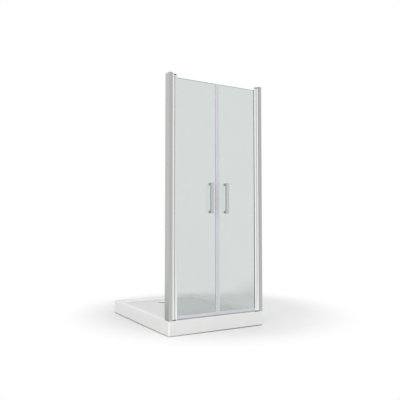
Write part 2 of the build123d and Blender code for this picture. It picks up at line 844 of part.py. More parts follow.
with BuildPart() as handle:
    with BuildSketch(Plane.YZ.offset(left(handle_x) - handle_width / 2)):
        with BuildLine():
            Polyline(
                (handle_face, handle_low),
                (handle_front, handle_low),
                (handle_front, handle_high),
                (handle_face, handle_high),
                (handle_face, handle_high - handle_foot),
                (handle_back_of_bar, handle_high - handle_foot),
                (handle_back_of_bar, handle_low + handle_foot),
                (handle_face, handle_low + handle_foot),
                close=True,
            )
        make_face()
        fillet(vertices().group_by(Axis.X)[1], handle_inner_radius)
        fillet(vertices().group_by(Axis.X)[0], handle_bend_radius)
    extrude(amount=handle_width)
    fillet(
        handle.faces().filter_by(Axis.X).edges().filter_by(
            lambda edge: edge.center().Y < handle_face - 0.1
        ),
        handle_edge_radius,
    )
    with BuildSketch(Plane.XZ.offset(-handle_face)):
        with Locations((left(handle_x), handle_centre_height)):
            with GridLocations(1, handle_screw_spacing, 1, 2):
                Circle(handle_screw_radius)
    extrude(amount=handle_screw_bite, mode=Mode.SUBTRACT)
save_pair(handle.part, "handle")

# Washers on both faces of the glass, with collars in its holes
with BuildPart() as handle_washers:
    for face, outwards in ((glass_front, 1), (glass_back, -1)):
        with BuildSketch(Plane.XZ.offset(-face)):
            with Locations((left(handle_x), handle_centre_height)):
                with GridLocations(1, handle_screw_spacing, 1, 2):
                    Circle(washer_radius)
        extrude(amount=outwards * washer_thickness)
        with BuildSketch(Plane.XZ.offset(-face)):
            with Locations((left(handle_x), handle_centre_height)):
                with GridLocations(1, handle_screw_spacing, 1, 2):
                    Circle(glass_hole_radius - washer_clearance)
        extrude(amount=-outwards * washer_collar)
    with BuildSketch(Plane.XZ.offset(-inner_washer_back)):
        with Locations((left(handle_x), handle_centre_height)):
            with GridLocations(1, handle_screw_spacing, 1, 2):
                Circle(handle_screw_radius + washer_clearance)
    extrude(amount=glass_thickness + 2 * washer_thickness, mode=Mode.SUBTRACT)
save_pair(handle_washers.part, "handle_washers")

# Handle screws, driven from inside the shower
with BuildPart() as handle_screws:
    with BuildSketch(Plane.XZ.offset(-inner_washer_back)):
        with Locations((left(handle_x), handle_centre_height)):
            with GridLocations(1, handle_screw_spacing, 1, 2):
                Circle(handle_screw_head_radius)
    extrude(amount=-handle_screw_head_height)
    fillet(handle_screws.edges().group_by(Axis.Y)[-1], handle_screw_head_round)
    with BuildSketch(Plane.XZ.offset(-inner_washer_back)):
        with Locations((left(handle_x), handle_centre_height)):
            with GridLocations(1, handle_screw_spacing, 1, 2):
                Circle(handle_screw_radius)
    extrude(amount=inner_washer_back - handle_face + handle_screw_bite)
save_pair(handle_screws.part, "handle_screws")
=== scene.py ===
"""Looks for the shower enclosure.

Metres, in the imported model's frame: X along the doors, Y to the back, Z up.
"""

import json
import math

import bmesh
import bpy
from mathutils import Matrix, Vector


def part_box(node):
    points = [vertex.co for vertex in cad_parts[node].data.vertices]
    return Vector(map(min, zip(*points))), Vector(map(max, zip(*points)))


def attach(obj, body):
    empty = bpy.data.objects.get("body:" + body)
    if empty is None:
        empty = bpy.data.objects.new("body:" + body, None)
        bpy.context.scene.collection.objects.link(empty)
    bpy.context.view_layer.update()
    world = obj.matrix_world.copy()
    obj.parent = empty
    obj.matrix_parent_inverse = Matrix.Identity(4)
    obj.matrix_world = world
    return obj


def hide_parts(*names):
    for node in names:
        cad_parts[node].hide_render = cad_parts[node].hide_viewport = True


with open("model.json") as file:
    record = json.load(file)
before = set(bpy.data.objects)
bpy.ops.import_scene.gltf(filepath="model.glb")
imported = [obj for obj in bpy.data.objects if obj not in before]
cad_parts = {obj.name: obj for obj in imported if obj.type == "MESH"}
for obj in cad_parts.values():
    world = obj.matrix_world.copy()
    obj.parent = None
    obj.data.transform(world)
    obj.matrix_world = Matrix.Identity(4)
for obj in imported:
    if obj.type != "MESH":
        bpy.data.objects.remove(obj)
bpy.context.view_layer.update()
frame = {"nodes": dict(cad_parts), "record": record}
nodes = frame["nodes"]
SIDES = {"left": -1, "right": 1}


# Camera, as fitted to the tray, the profiles and the handles
CAMERA_PLACE = Vector((-2.137, -3.9926, 0.8875))
CAMERA_FORWARD = Vector((0.5006, 0.8645, 0.0448))
CAMERA_LENS = 43.82
SENSOR_WIDTH = 36.0
CLIP_END = 100.0


def add_camera():
    data = bpy.data.cameras.new("camera")
    data.lens = CAMERA_LENS
    data.sensor_width = SENSOR_WIDTH
    data.clip_end = CLIP_END
    camera = bpy.data.objects.new("camera", data)
    camera.location = CAMERA_PLACE
    camera.rotation_euler = CAMERA_FORWARD.to_track_quat("-Z", "Y").to_euler()
    bpy.context.collection.objects.link(camera)
    bpy.context.scene.camera = camera


# Light: a pale studio with two soft lamps, one from the front left and one from the right
SKY_LEVEL = 0.78
LEFT_LAMP = {
    "place": (-3.4, -3.2, 2.6), "target": (0, -0.3, 0.8), "width": 2.2, "height": 2.6, "power": 48.0,
}
RIGHT_LAMP = {
    "place": (3.4, -1.6, 2.0), "target": (0, -0.3, 1.0), "width": 1.6, "height": 2.8, "power": 16.0,
}

# What polished metal mirrors, by compass angle: 0 is behind the object, 90 its right side, 180 its front
MIRRORED_LEVELS = (
    (-180, 1.0), (-165, 0.97), (-150, 0.60), (-110, 0.45), (-70, 0.50), (-45, 1.0),
    (45, 1.0), (70, 0.60), (95, 0.42), (125, 0.50), (138, 0.95), (146, 1.0), (155, 0.78), (164, 0.92),
    (180, 1.0),
)


def add_lamp(name, place, target, width, height, power):
    data = bpy.data.lights.new(name, "AREA")
    data.shape = "RECTANGLE"
    data.size = width
    data.size_y = height
    data.energy = power
    lamp = bpy.data.objects.new(name, data)
    lamp.visible_glossy = False
    lamp.location = place
    lamp.rotation_euler = (Vector(target) - Vector(place)).to_track_quat("-Z", "Y").to_euler()
    bpy.context.collection.objects.link(lamp)


def mirrored_level(tree, direction_socket):
    """The level of the studio that is mirrored from a direction, or from a place on the floor."""
    link = tree.links.new
    parts = tree.nodes.new("ShaderNodeSeparateXYZ")
    angle = tree.nodes.new("ShaderNodeMath")
    angle.operation = "ARCTAN2"
    share = tree.nodes.new("ShaderNodeMapRange")
    share.inputs["From Min"].default_value = -math.pi
    share.inputs["From Max"].default_value = math.pi
    level = tree.nodes.new("ShaderNodeValToRGB")
    stops = level.color_ramp.elements
    for index, (degrees, strength) in enumerate(MIRRORED_LEVELS):
        place = (degrees + 180) / 360
        if index in (0, len(MIRRORED_LEVELS) - 1):
            stop = stops[0 if index == 0 else -1]
            stop.position = place
        else:
            stop = stops.new(place)
        stop.color = (strength, strength, strength, 1)
    link(direction_socket, parts.inputs[0])
    link(parts.outputs["X"], angle.inputs[0])
    link(parts.outputs["Y"], angle.inputs[1])
    link(angle.outputs[0], share.inputs["Value"])
    link(share.outputs["Result"], level.inputs["Fac"])
    return level.outputs["Color"]


def add_world():
    world = bpy.data.worlds.new("studio")
    bpy.context.scene.world = world
    world.use_nodes = True
    tree = world.node_tree
    tree.nodes.clear()
    output = tree.nodes.new("ShaderNodeOutputWorld")
    shown = tree.nodes.new("ShaderNodeBackground")
    shown.inputs["Color"].default_value = (1, 1, 1, 1)
    shown.inputs["Strength"].default_value = 1.0
    lit = tree.nodes.new("ShaderNodeBackground")
    lit.inputs["Color"].default_value = (1, 1, 1, 1)
    lit.inputs["Strength"].default_value = SKY_LEVEL
    mirrored = tree.nodes.new("ShaderNodeBackground")
    direction = tree.nodes.new("ShaderNodeTexCoord")
    path = tree.nodes.new("ShaderNodeLightPath")
    straight = tree.nodes.new("ShaderNodeMath")
    straight.operation = "MAXIMUM"
    mix_glossy = tree.nodes.new("ShaderNodeMixShader")
    mix_shown = tree.nodes.new("ShaderNodeMixShader")
    link = tree.links.new
    link(mirrored_level(tree, direction.outputs["Generated"]), mirrored.inputs["Color"])
    link(path.outputs["Is Camera Ray"], straight.inputs[0])
    link(path.outputs["Is Transmission Ray"], straight.inputs[1])
    link(path.outputs["Is Glossy Ray"], mix_glossy.inputs["Fac"])
    link(lit.outputs[0], mix_glossy.inputs[1])
    link(mirrored.outputs[0], mix_glossy.inputs[2])
    link(straight.outputs[0], mix_shown.inputs["Fac"])
    link(mix_glossy.outputs[0], mix_shown.inputs[1])
    link(shown.outputs[0], mix_shown.inputs[2])
    link(mix_shown.outputs[0], output.inputs["Surface"])


FLOOR_HALF = 200.0
FLOOR_COLOUR = (0.93, 0.93, 0.93, 1)
FADE_CENTRE = (0.42, 0.20, 0.0)
FADE_START = 0.80
FADE_END = 1.50


def add_floor():
    """A pale floor that keeps the shadow near the object and fades into the white background."""
    mesh = bpy.data.meshes.new("floor")
    floor = bpy.data.objects.new("floor", mesh)
    maker = bmesh.new()
    corners = ((-1, -1), (1, -1), (1, 1), (-1, 1))
    maker.faces.new([maker.verts.new((x * FLOOR_HALF, y * FLOOR_HALF, 0)) for x, y in corners])
    maker.to_mesh(mesh)
    maker.free()
    bpy.context.collection.objects.link(floor)
    material = bpy.data.materials.new("floor")
    material.use_nodes = True
    tree = material.node_tree
    tree.nodes.clear()
    output = tree.nodes.new("ShaderNodeOutputMaterial")
    matt = tree.nodes.new("ShaderNodeBsdfDiffuse")
    matt.inputs["Color"].default_value = FLOOR_COLOUR
    white = tree.nodes.new("ShaderNodeEmission")
    place = tree.nodes.new("ShaderNodeTexCoord")
    distance = tree.nodes.new("ShaderNodeVectorMath")
    distance.operation = "DISTANCE"
    distance.inputs[1].default_value = FADE_CENTRE
    fade = tree.nodes.new("ShaderNodeMapRange")
    fade.interpolation_type = "SMOOTHSTEP"
    fade.inputs["From Min"].default_value = FADE_START
    fade.inputs["From Max"].default_value = FADE_END
    path = tree.nodes.new("ShaderNodeLightPath")
    tone = tree.nodes.new("ShaderNodeMix")
    tone.data_type = "RGBA"
    tone.inputs["A"].default_value = (1, 1, 1, 1)
    seen = tree.nodes.new("ShaderNodeMath")
    seen.operation = "MAXIMUM"
    seen_through = tree.nodes.new("ShaderNodeMath")
    seen_through.operation = "MAXIMUM"
    share = tree.nodes.new("ShaderNodeMath")
    share.operation = "MULTIPLY"
    mix = tree.nodes.new("ShaderNodeMixShader")
    link = tree.links.new
    link(place.outputs["Object"], distance.inputs[0])
    link(distance.outputs["Value"], fade.inputs["Value"])
    link(path.outputs["Is Camera Ray"], seen.inputs[0])
    link(path.outputs["Is Glossy Ray"], seen.inputs[1])
    link(seen.outputs[0], seen_through.inputs[0])
    link(path.outputs["Is Transmission Ray"], seen_through.inputs[1])
    link(seen_through.outputs[0], share.inputs[0])
    link(fade.outputs["Result"], share.inputs[1])
    link(share.outputs[0], mix.inputs["Fac"])
    link(path.outputs["Is Glossy Ray"], tone.inputs["Factor"])
    link(mirrored_level(tree, place.outputs["Object"]), tone.inputs["B"])
    link(tone.outputs["Result"], white.inputs["Color"])
    link(matt.outputs[0], mix.inputs[1])
    link(white.outputs[0], mix.inputs[2])
    link(mix.outputs[0], output.inputs["Surface"])
    mesh.materials.append(material)


# Materials
NOISE_DETAIL, NOISE_ROUGHNESS = 4.0, 0.6
TONE_LOW, TONE_HIGH = 0.3, 0.7
COAT_ROUGHNESS = 0.05


def surface(
    name,
    colour,
    roughness,
    metallic=0.0,
    grain=(60.0, 60.0, 60.0),
    colour_spread=0.03,
    roughness_spread=0.05,
    bump=0.02,
    bump_depth=0.0002,
    coat=0.0,
    alpha=1.0,
    transmission=0.0,
    edge_tint_and_shade=None,
    specular=0.5,
    layers=(),
):
    """A material whose colour, gloss and bump follow a grain.

    The grain is given as its fineness along X, Y and Z, per metre.
    """
    material = bpy.data.materials.new(name)
    material.use_nodes = True
    tree = material.node_tree
    link = tree.links.new
    shader = tree.nodes["Principled BSDF"]
    shader.inputs["Metallic"].default_value = metallic
    shader.inputs["Specular IOR Level"].default_value = specular
    shader.inputs["Transmission Weight"].default_value = transmission
    shader.inputs["Coat Weight"].default_value = coat
    shader.inputs["Coat Roughness"].default_value = COAT_ROUGHNESS
    shader.inputs["Alpha"].default_value = alpha
    place = tree.nodes.new("ShaderNodeTexCoord")
    scale = tree.nodes.new("ShaderNodeMapping")
    scale.inputs["Scale"].default_value = grain
    noise = tree.nodes.new("ShaderNodeTexNoise")
    noise.inputs["Scale"].default_value = 1.0
    noise.inputs["Detail"].default_value = NOISE_DETAIL
    noise.inputs["Roughness"].default_value = NOISE_ROUGHNESS
    tone = tree.nodes.new("ShaderNodeValToRGB")
    tone.color_ramp.elements[0].position = TONE_LOW
    tone.color_ramp.elements[1].position = TONE_HIGH
    tone.color_ramp.elements[0].color = [c * (1 - colour_spread) for c in colour] + [1]
    tone.color_ramp.elements[1].color = [min(1.0, c * (1 + colour_spread)) for c in colour] + [1]
    gloss = tree.nodes.new("ShaderNodeMapRange")
    gloss.inputs["To Min"].default_value = max(0.0, roughness - roughness_spread)
    gloss.inputs["To Max"].default_value = roughness + roughness_spread
    relief = tree.nodes.new("ShaderNodeBump")
    relief.inputs["Strength"].default_value = bump
    relief.inputs["Distance"].default_value = bump_depth
    link(place.outputs["Object"], scale.inputs["Vector"])
    link(scale.outputs["Vector"], noise.inputs["Vector"])
    link(noise.outputs["Fac"], tone.inputs["Fac"])
    link(noise.outputs["Fac"], gloss.inputs["Value"])
    link(noise.outputs["Fac"], relief.inputs["Height"])
    link(gloss.outputs["Result"], shader.inputs["Roughness"])
    link(relief.outputs["Normal"], shader.inputs["Normal"])
    colour_socket = tone.outputs["Color"]
    # Edge tint and painted edge shade, where a finish gives one
    if edge_tint_and_shade:
        colour_socket = tint_and_shade_edges(tree, place, colour_socket, edge_tint_and_shade)
    for layer in layers:
        colour_socket = layer(tree, place, colour_socket)
    link(colour_socket, shader.inputs["Base Color"])
    if transmission:
        let_light_through(tree, shader, colour)
    return material


# Painted edge shade: the glass's green edges with a painted darker line under its top, and a painted shade
# and reflection on the handles' sides; the share of the normal along Y at which a face counts as broad or as
# narrow
GLASS_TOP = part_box("door_glass_left")[1][2]
EDGE_BAND = 0.005
BROAD_FACE, NARROW_FACE = 0.9, 0.4

# Painted light on the tray and the seals: painted shade on the basin's floor, a painted highlight on rounded
# edges, a painted shadow along the tray's foot and a painted shadow at the bottom seal's lip; the share of
# the normal or the height at which each starts and is full
# Painted shade on the basin's floor
UPWARD_NONE, UPWARD_FULL = 0.85, 0.97
BASIN_FULL_Z, BASIN_NONE_Z = 0.100, 0.108
BASIN_SHADE_COLOUR = (0.735, 0.75, 0.74)
# Painted highlight on rounded edges
FLAT_FACE, CURVED_FACE = 0.985, 0.90
CURVE_HIGHLIGHT_COLOUR = (0.97, 0.97, 0.965)
# Painted shadow along the tray's foot
FOOT_FULL_Z, FOOT_NONE_Z = 0.0065, 0.0070
FOOT_SHADOW_COLOUR = (0.22, 0.22, 0.21)
# Painted shadow at the bottom seal's lip
LIP_FULL_Z, LIP_NONE_Z = 0.1290, 0.1305
LIP_SHADOW_COLOUR = (0.40, 0.41, 0.43)


def tint_and_shade_edges(tree, place, colour_socket, edge_tint_and_shade):
    """The faces that look sideways, up or down, and a thin band under the glass top, take a deeper colour: on
    the glass the green of its edges with a painted darker line under the top, on the handles a painted shade
    and reflection on their sides.
    """
    link = tree.links.new
    facing = tree.nodes.new("ShaderNodeSeparateXYZ")
    across = tree.nodes.new("ShaderNodeMath")
    across.operation = "ABSOLUTE"
    narrow = tree.nodes.new("ShaderNodeMapRange")
    narrow.inputs["From Min"].default_value = BROAD_FACE
    narrow.inputs["From Max"].default_value = NARROW_FACE
    height = tree.nodes.new("ShaderNodeSeparateXYZ")
    band = tree.nodes.new("ShaderNodeMath")
    band.operation = "GREATER_THAN"
    band.inputs[1].default_value = GLASS_TOP - EDGE_BAND
    deeper = tree.nodes.new("ShaderNodeMath")
    deeper.operation = "MAXIMUM"
    link(place.outputs["Normal"], facing.inputs[0])
    link(facing.outputs["Y"], across.inputs[0])
    link(across.outputs[0], narrow.inputs["Value"])
    link(place.outputs["Object"], height.inputs[0])
    link(height.outputs["Z"], band.inputs[0])
    link(narrow.outputs["Result"], deeper.inputs[0])
    link(band.outputs[0], deeper.inputs[1])
    return mix_colour(tree, deeper.outputs[0], colour_socket, edge_tint_and_shade)


def mix_colour(tree, factor_socket, colour_socket, colour):
    """The colour of a socket, mixed with a plain colour where the factor is 1."""
    mix = tree.nodes.new("ShaderNodeMix")
    mix.data_type = "RGBA"
    mix.inputs["B"].default_value = (*colour, 1)
    tree.links.new(factor_socket, mix.inputs["Factor"])
    tree.links.new(colour_socket, mix.inputs["A"])
    return mix.outputs["Result"]


def fade_by_height(tree, place, full_at, none_at):
    """A factor that goes from 1 at one height to 0 at another."""
    parts = tree.nodes.new("ShaderNodeSeparateXYZ")
    fade = tree.nodes.new("ShaderNodeMapRange")
    fade.inputs["From Min"].default_value = none_at
    fade.inputs["From Max"].default_value = full_at
    tree.links.new(place.outputs["Object"], parts.inputs[0])
    tree.links.new(parts.outputs["Z"], fade.inputs["Value"])
    return fade.outputs["Result"]


def painted_basin_shade(tree, place, colour_socket):
    """Painted shade: the basin's floor, which looks up from below the rim, is painted a darker grey."""
    facing = tree.nodes.new("ShaderNodeSeparateXYZ")
    upward = tree.nodes.new("ShaderNodeMapRange")
    upward.inputs["From Min"].default_value = UPWARD_NONE
    upward.inputs["From Max"].default_value = UPWARD_FULL
    both = tree.nodes.new("ShaderNodeMath")
    both.operation = "MULTIPLY"
    tree.links.new(place.outputs["Normal"], facing.inputs[0])
    tree.links.new(facing.outputs["Z"], upward.inputs["Value"])
    tree.links.new(upward.outputs["Result"], both.inputs[0])
    tree.links.new(fade_by_height(tree, place, BASIN_FULL_Z, BASIN_NONE_Z), both.inputs[1])
    return mix_colour(tree, both.outputs[0], colour_socket, BASIN_SHADE_COLOUR)


def painted_curve_highlight(tree, place, colour_socket):
    """Painted highlight: rounded edges and the basin's sloping wall, which face no main direction, are
    painted brighter.
    """
    link = tree.links.new
    size = tree.nodes.new("ShaderNodeVectorMath")
    size.operation = "ABSOLUTE"
    parts = tree.nodes.new("ShaderNodeSeparateXYZ")
    sideways = tree.nodes.new("ShaderNodeMath")
    sideways.operation = "MAXIMUM"
    straight = tree.nodes.new("ShaderNodeMath")
    straight.operation = "MAXIMUM"
    curved = tree.nodes.new("ShaderNodeMapRange")
    curved.inputs["From Min"].default_value = FLAT_FACE
    curved.inputs["From Max"].default_value = CURVED_FACE
    link(place.outputs["Normal"], size.inputs[0])
    link(size.outputs["Vector"], parts.inputs[0])
    link(parts.outputs["X"], sideways.inputs[0])
    link(parts.outputs["Y"], sideways.inputs[1])
    link(sideways.outputs[0], straight.inputs[0])
    link(parts.outputs["Z"], straight.inputs[1])
    link(straight.outputs[0], curved.inputs["Value"])
    return mix_colour(tree, curved.outputs["Result"], colour_socket, CURVE_HIGHLIGHT_COLOUR)


def painted_foot_shadow(tree, place, colour_socket):
    """Painted shadow: the skirt's lowest edge is painted dark, as the shadow where the tray meets the floor.
    """
    low = fade_by_height(tree, place, FOOT_FULL_Z, FOOT_NONE_Z)
    return mix_colour(tree, low, colour_socket, FOOT_SHADOW_COLOUR)


def painted_lip_shadow(tree, place, colour_socket):
    """Painted shadow: the bottom seal's wiper lip, just above the tray, is painted darker, as the shade in
    the gap above the tray.
    """
    low = fade_by_height(tree, place, LIP_FULL_Z, LIP_NONE_Z)
    return mix_colour(tree, low, colour_socket, LIP_SHADOW_COLOUR)


def let_light_through(tree, shader, colour):
    """Lamps shine through a clear piece, so that it leaves only a faint shadow."""
    link = tree.links.new
    output = tree.nodes["Material Output"]
    path = tree.nodes.new("ShaderNodeLightPath")
    clear = tree.nodes.new("ShaderNodeBsdfTransparent")
    clear.inputs["Color"].default_value = (*[c**0.5 for c in colour], 1)
    mix = tree.nodes.new("ShaderNodeMixShader")
    link(path.outputs["Is Shadow Ray"], mix.inputs["Fac"])
    link(shader.outputs[0], mix.inputs[1])
    link(clear.outputs[0], mix.inputs[2])
    link(mix.outputs[0], output.inputs["Surface"])


def even(fineness):
    """A grain that is as fine in all directions."""
    return (fineness, fineness, fineness)


# The grain of a drawn profile runs along its height
DRAWN = (350.0, 350.0, 0.8)
FINISHES = {
    # The tray's layers paint shade on the basin's floor, a highlight on its rounded edges and a shadow along
    # its foot
    "white_acrylic": dict(
        colour=(0.83, 0.83, 0.825), roughness=0.34, grain=even(9), colour_spread=0.012, roughness_spread=0.04,
        bump=0.10, bump_depth=0.0004, coat=0.12, specular=0.3, layers=(painted_basin_shade, painted_curve_highlight, painted_foot_shadow),
    ),
    "base_board": dict(
        colour=(0.50, 0.38, 0.25), roughness=0.75, grain=(400, 90, 400), colour_spread=0.3, bump=0.5,
    ),
    "galvanised_steel": dict(
        colour=(0.60, 0.62, 0.63), roughness=0.38, metallic=1.0, grain=even(70), colour_spread=0.14,
        roughness_spread=0.1,
    ),
    "screw_steel": dict(
        colour=(0.60, 0.60, 0.59), roughness=0.34, metallic=1.0, grain=even(700), colour_spread=0.08,
    ),
    "foot_plastic": dict(
        colour=(0.035, 0.035, 0.038), roughness=0.5, grain=even(900), colour_spread=0.2, bump=0.3,
    ),
    "waste_chrome": dict(colour=(0.72, 0.73, 0.74), roughness=0.09, metallic=1.0, grain=even(200)),
    "waste_rubber": dict(
        colour=(0.03, 0.03, 0.03), roughness=0.65, grain=even(900), colour_spread=0.2, bump=0.3,
    ),
    "trap_plastic": dict(
        colour=(0.70, 0.70, 0.68), roughness=0.4, grain=even(500), colour_spread=0.04, bump=0.2,
    ),
    "silver_profile": dict(
        colour=(0.535, 0.545, 0.535), roughness=0.34, metallic=1.0, grain=DRAWN, colour_spread=0.04,
        roughness_spread=0.06, bump=0.03,
    ),
    "bright_profile": dict(
        colour=(0.91, 0.915, 0.91), roughness=0.10, metallic=1.0, grain=DRAWN, colour_spread=0.02,
        roughness_spread=0.03, bump=0.01,
    ),
    "cap_plastic": dict(
        colour=(0.42, 0.43, 0.43), roughness=0.42, grain=even(800), colour_spread=0.06, bump=0.2,
    ),
    "bracket_plastic": dict(
        colour=(0.10, 0.105, 0.105), roughness=0.45, grain=even(800), colour_spread=0.15, bump=0.2,
    ),
    "bush_plastic": dict(
        colour=(0.75, 0.75, 0.73), roughness=0.4, grain=even(800), colour_spread=0.05, bump=0.2,
    ),
    "glazing_rubber": dict(
        colour=(0.16, 0.20, 0.185), roughness=0.35, grain=(900, 900, 30), colour_spread=0.1, bump=0.1,
    ),
    # The glass's edges are green, painted darker, with a painted darker line under its top
    "door_glass": dict(
        colour=(0.655, 0.70, 0.683), roughness=0.0, grain=even(4), colour_spread=0.006, roughness_spread=0.0,
        bump=0.01, transmission=1.0, edge_tint_and_shade=(0.30, 0.46, 0.42),
    ),
    # The seal's layer paints a shadow along its lowest band
    "seal_plastic": dict(
        colour=(0.83, 0.82, 0.88), roughness=0.34, grain=(900, 900, 8), bump=0.05, alpha=0.8,
        layers=(painted_lip_shadow,),
    ),
    "magnet_rubber": dict(
        colour=(0.78, 0.76, 0.82), roughness=0.4, grain=(900, 900, 30), colour_spread=0.04, bump=0.1,
    ),
    # The handles' sides carry a painted shade and reflection
    "handle_chrome": dict(
        colour=(0.57, 0.58, 0.575), roughness=0.16, metallic=1.0, grain=even(300), colour_spread=0.03,
        edge_tint_and_shade=(0.39, 0.425, 0.41),
    ),
    "washer_plastic": dict(colour=(0.80, 0.81, 0.81), roughness=0.25, grain=even(600), alpha=0.6),
}


# Mesh building
SHARP_ANGLE = math.radians(32)
BEVEL_ANGLE = math.radians(40)
BEVEL_SEGMENTS = 2


def smooth(piece):
    mesh = piece.data
    mesh.polygons.foreach_set("use_smooth", [True] * len(mesh.polygons))
    mesh.set_sharp_from_angle(angle=SHARP_ANGLE)


def bevel(piece, width):
    modifier = piece.modifiers.new("bevel", "BEVEL")
    modifier.width = width
    modifier.segments = BEVEL_SEGMENTS
    modifier.limit_method = "ANGLE"
    modifier.angle_limit = BEVEL_ANGLE


def new_piece(name, mesh_maker, body, slot, replaced=()):
    """A piece built in code, with its material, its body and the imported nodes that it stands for."""
    mesh = bpy.data.meshes.new(name)
    piece = bpy.data.objects.new(name, mesh)
    bpy.context.collection.objects.link(piece)
    mesh_maker.normal_update()
    bmesh.ops.recalc_face_normals(mesh_maker, faces=mesh_maker.faces)
    mesh_maker.to_mesh(mesh)
    mesh_maker.free()
    mesh.materials.append(materials[slot])
    smooth(piece)
    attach(piece, body)
    if replaced:
        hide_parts(*replaced)
    return piece


def circle(radius, count, start=0.0):
    """Places round a circle, as pairs."""
    angles = [start + 2 * math.pi * k / count for k in range(count)]
    return [(radius * math.cos(a), radius * math.sin(a)) for a in angles]


def add_ring(maker, points):
    return [maker.verts.new(p) for p in points]


def bridge(maker, low, high):
    """Faces between two closed rings of as many vertices each."""
    count = len(low)
    for i in range(count):
        j = (i + 1) % count
        maker.faces.new((low[i], low[j], high[j], high[i]))


def cut(piece, cutter_maker):
    """Takes a closed cutter out of a piece for good."""
    mesh = bpy.data.meshes.new("cutter")
    cutter_maker.normal_update()
    bmesh.ops.recalc_face_normals(cutter_maker, faces=cutter_maker.faces)
    cutter_maker.to_mesh(mesh)
    cutter_maker.free()
    cutter = bpy.data.objects.new("cutter", mesh)
    bpy.context.collection.objects.link(cutter)
    modifier = piece.modifiers.new("cut", "BOOLEAN")
    modifier.operation = "DIFFERENCE"
    modifier.solver = "EXACT"
    modifier.object = cutter
    bpy.context.view_layer.update()
    graph = bpy.context.evaluated_depsgraph_get()
    result = bpy.data.meshes.new_from_object(piece.evaluated_get(graph))
    piece.modifiers.remove(modifier)
    materials_kept = list(piece.data.materials)
    piece.data = result
    piece.data.materials.clear()
    for material in materials_kept:
        piece.data.materials.append(material)
    bpy.data.objects.remove(cutter)
    smooth(piece)


# Tray shell: rings of one rounded outline after another, from the skirt over the rim into the basin
# and back below
TRAY_HALF_X, TRAY_HALF_Y = 0.450, 0.600
TRAY_TOP, TRAY_LIFT = 0.120, 0.003
TRAY_CORNER, TRAY_EDGE, SHELL = 0.014, 0.005, 0.005
BASIN_HALF_X, BASIN_HALF_Y, BASIN_CENTRE_Y, BASIN_CORNER = 0.408, 0.540, 0.018, 0.070
BASIN_RUN, BASIN_FLOOR, WASTE_FLOOR = 0.016, 0.098, 0.094
WASTE_Y, RECESS_R, WASTE_HOLE_R = 0.410, 0.058, 0.046
FLANGE_SEAT, PAN_BOTTOM = 0.0915, 0.0865
NOTCH_R, NOTCH_Z = 0.034, 0.050
NOTCH_FROM_X, NOTCH_TO_X, NOTCH_PARTS = 0.440, 0.460, 40
FALL_FLAT, FALL_CORNER, FALL_PARTS = 0.062, 0.060, 8
FOOT_ROUND, RECESS_ROUND, LEAST_CORNER = 0.0008, 0.0006, 0.002
RIM_OUTSIDE, RIM_INSIDE = 0.003, 0.004
LIP_REACH, FOOT_REACH = 0.0032, 0.007
SKIRT_LEVELS = (0.25, 0.5, 0.75)
EDGE_PARTS, CURVE_PARTS = 8, 6
STEPS = 12
ROUND_START = math.pi / 8


def rounded_outline(half_x, half_y, radius, z, centre_y=0.0):
    """Points round a rounded rectangle, STEPS to each corner and to each side."""
    points = []
    corners = ((1, 1, 0.0), (-1, 1, 0.5), (-1, -1, 1.0), (1, -1, 1.5))
    ends = []
    for sx, sy, start in corners:
        cx, cy = sx * (half_x - radius), sy * (half_y - radius)
        arc = []
        for k in range(STEPS + 1):
            a = math.pi * (start + 0.5 * k / STEPS)
            arc.append((cx + radius * math.cos(a), cy + radius * math.sin(a)))
        ends.append(arc)
    for index, arc in enumerate(ends):
        following = ends[(index + 1) % 4][0]
        points += arc
        for k in range(1, STEPS):
            t = k / STEPS
            x = arc[-1][0] * (1 - t) + following[0] * t
            y = arc[-1][1] * (1 - t) + following[1] * t
            points.append((x, y))
    return [Vector((x, y + centre_y, z)) for x, y in points]


def round_outline(radius, z):
    """A circle round the waste with the same number of points as a rounded outline."""
    places = circle(radius, 8 * STEPS, ROUND_START)
    return [Vector((x, WASTE_Y + y, z)) for x, y in places]


